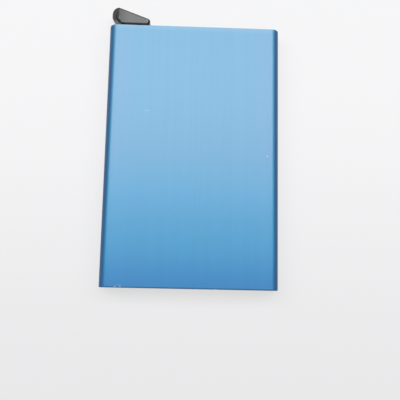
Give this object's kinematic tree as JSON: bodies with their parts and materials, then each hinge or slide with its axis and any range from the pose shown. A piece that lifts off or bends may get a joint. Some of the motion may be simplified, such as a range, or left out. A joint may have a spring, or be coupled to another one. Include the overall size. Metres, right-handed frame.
{
  "type": "pop up card holder",
  "caption": "Slim metal sleeve for bank cards with full round sides, an open mouth at one end and a sprung thumb lever at the other that fans the cards out.",
  "frame": {"origin": "under the middle of the whole outline, on the rear face that the holder lies on", "axes": "+X across the card to the right as seen from the front, +Y along the card towards the lever end, +Z out of the front face"},
  "size_m": [0.063, 0.1032, 0.008],
  "materials": {
    "anodised_metal": "satin blue anodised",
    "black_moulding": "fine matte",
    "lever_moulding": "satin dark grey",
    "steel": "bright drawn",
    "felt": "pressed wool felt"
  },
  "bodies": {
    "root": {"sleeve": "anodised_metal", "mechanism_frame": "black_moulding", "mechanism_cover": "black_moulding", "pivot_pin": "steel", "return_spring": "steel", "felt_front_left": "felt", "felt_rear_left": "felt", "felt_front_right": "felt", "felt_rear_right": "felt"},
    "lever": {"eject_lever": "lever_moulding"}
  },
  "joints": [
    {"name": "lever_pivot", "type": "hinge", "parent": "root", "child": "lever", "pos_m": [-0.0252, 0.0392, 0.004], "axis": [0, 0, -1], "range_deg": [0, 38], "stiffness_Nm_per_rad": 0.012, "springref_deg": -9.74, "deforming": ["return_spring"]}
  ]
}
